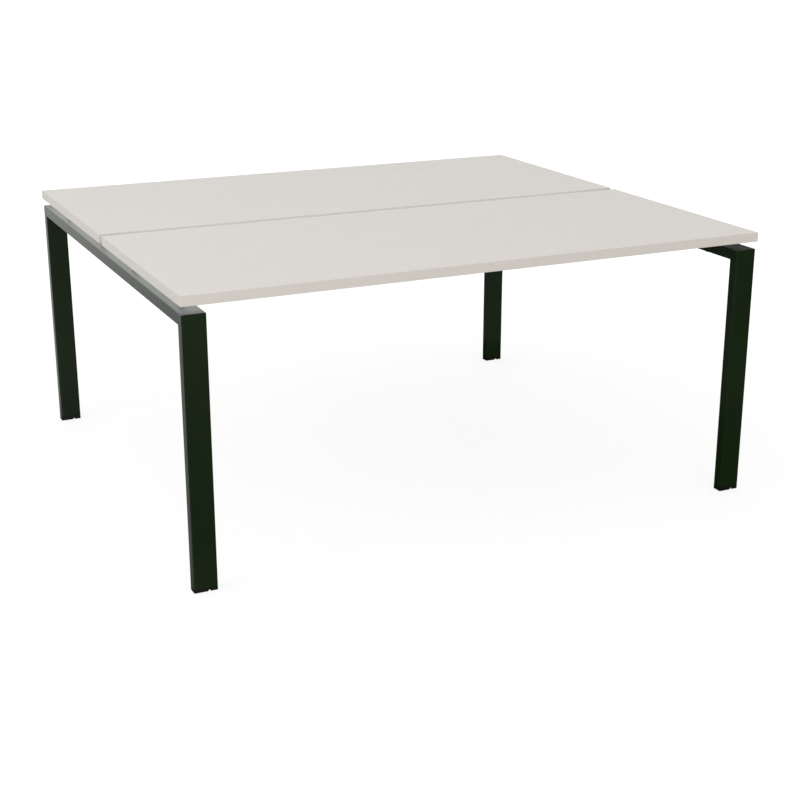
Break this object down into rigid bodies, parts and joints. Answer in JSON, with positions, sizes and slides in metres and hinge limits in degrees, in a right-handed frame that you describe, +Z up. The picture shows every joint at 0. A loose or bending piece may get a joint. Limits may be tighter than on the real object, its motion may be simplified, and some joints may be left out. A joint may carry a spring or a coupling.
{
  "type": "benching desk for two",
  "caption": "Back-to-back benching desk: pale worktops with a narrow slot between them, on spacers over goal-post steel tube frames joined by rails, with levelling feet.",
  "frame": {"origin": "on the floor below the middle of the desk", "axes": "+X along the desk, -Y towards the front seat, +Z up"},
  "size_m": [1.6, 1.42, 0.735],
  "materials": {
    "worktop_laminate": "pale warm grey melamine facing on chipboard, fine matt texture",
    "worktop_edging": "ABS edging strip, satin",
    "green_coat": "dark green powder coat on steel tube, satin",
    "black_plastic": "moulded, matt",
    "zinc_steel": "bright zinc plate"
  },
  "bodies": {
    "desk": {"left_frame_front_leg": "green_coat", "left_frame_rear_leg": "green_coat", "left_frame_top_beam": "green_coat", "right_frame_front_leg": "green_coat", "right_frame_rear_leg": "green_coat", "right_frame_top_beam": "green_coat", "front_worktop_board": "worktop_laminate", "front_worktop_rear_edging": "worktop_edging", "front_worktop_front_edging": "worktop_edging", "front_worktop_left_edging": "worktop_edging", "front_worktop_right_edging": "worktop_edging", "front_rail": "green_coat", "front_rail_left_end_plate": "green_coat", "front_rail_left_outer_bolt": "zinc_steel", "front_rail_left_inner_bolt": "zinc_steel", "front_rail_right_end_plate": "green_coat", "front_rail_right_outer_bolt": "zinc_steel", "front_rail_right_inner_bolt": "zinc_steel", "front_left_foot_cap": "black_plastic", "front_left_outer_spacer": "black_plastic", "front_left_outer_top_screw": "zinc_steel", "front_left_inner_spacer": "black_plastic", "front_left_inner_top_screw": "zinc_steel", "front_right_foot_cap": "black_plastic", "front_right_outer_spacer": "black_plastic", "front_right_outer_top_screw": "zinc_steel", "front_right_inner_spacer": "black_plastic", "front_right_inner_top_screw": "zinc_steel", "rear_worktop_board": "worktop_laminate", "rear_worktop_rear_edging": "worktop_edging", "rear_worktop_front_edging": "worktop_edging", "rear_worktop_left_edging": "worktop_edging", "rear_worktop_right_edging": "worktop_edging", "rear_rail": "green_coat", "rear_rail_left_end_plate": "green_coat", "rear_rail_left_outer_bolt": "zinc_steel", "rear_rail_left_inner_bolt": "zinc_steel", "rear_rail_right_end_plate": "green_coat", "rear_rail_right_outer_bolt": "zinc_steel", "rear_rail_right_inner_bolt": "zinc_steel", "rear_left_foot_cap": "black_plastic", "rear_left_outer_spacer": "black_plastic", "rear_left_outer_top_screw": "zinc_steel", "rear_left_inner_spacer": "black_plastic", "rear_left_inner_top_screw": "zinc_steel", "rear_right_foot_cap": "black_plastic", "rear_right_outer_spacer": "black_plastic", "rear_right_outer_top_screw": "zinc_steel", "rear_right_inner_spacer": "black_plastic", "rear_right_inner_top_screw": "zinc_steel"},
    "front_left_pad": {"front_left_levelling_pad": "black_plastic"},
    "front_left_stud": {"front_left_levelling_stud": "zinc_steel"},
    "front_right_pad": {"front_right_levelling_pad": "black_plastic"},
    "front_right_stud": {"front_right_levelling_stud": "zinc_steel"},
    "rear_left_pad": {"rear_left_levelling_pad": "black_plastic"},
    "rear_left_stud": {"rear_left_levelling_stud": "zinc_steel"},
    "rear_right_pad": {"rear_right_levelling_pad": "black_plastic"},
    "rear_right_stud": {"rear_right_levelling_stud": "zinc_steel"}
  },
  "joints": [
    {"name": "front_left_foot_height", "type": "slide", "parent": "desk", "child": "front_left_pad", "axis": [0, 0, -1], "range_m": [0, 0.015]},
    {"name": "front_left_stud_turn", "type": "hinge", "parent": "front_left_pad", "child": "front_left_stud", "pos_m": [-0.768, -0.691, 0.004], "axis": [0, 0, -1], "range_deg": [0, 4320]},
    {"name": "front_right_foot_height", "type": "slide", "parent": "desk", "child": "front_right_pad", "axis": [0, 0, -1], "range_m": [0, 0.015]},
    {"name": "front_right_stud_turn", "type": "hinge", "parent": "front_right_pad", "child": "front_right_stud", "pos_m": [0.768, -0.691, 0.004], "axis": [0, 0, -1], "range_deg": [0, 4320]},
    {"name": "rear_left_foot_height", "type": "slide", "parent": "desk", "child": "rear_left_pad", "axis": [0, 0, -1], "range_m": [0, 0.015]},
    {"name": "rear_left_stud_turn", "type": "hinge", "parent": "rear_left_pad", "child": "rear_left_stud", "pos_m": [-0.768, 0.691, 0.004], "axis": [0, 0, -1], "range_deg": [0, 4320]},
    {"name": "rear_right_foot_height", "type": "slide", "parent": "desk", "child": "rear_right_pad", "axis": [0, 0, -1], "range_m": [0, 0.015]},
    {"name": "rear_right_stud_turn", "type": "hinge", "parent": "rear_right_pad", "child": "rear_right_stud", "pos_m": [0.768, 0.691, 0.004], "axis": [0, 0, -1], "range_deg": [0, 4320]}
  ],
  "couplings": [
    {"joint": "front_left_foot_height", "follows": "front_left_stud_turn", "m_per_rad": 0.00019894},
    {"joint": "front_right_foot_height", "follows": "front_right_stud_turn", "m_per_rad": 0.00019894},
    {"joint": "rear_left_foot_height", "follows": "rear_left_stud_turn", "m_per_rad": 0.00019894},
    {"joint": "rear_right_foot_height", "follows": "rear_right_stud_turn", "m_per_rad": 0.00019894}
  ]
}
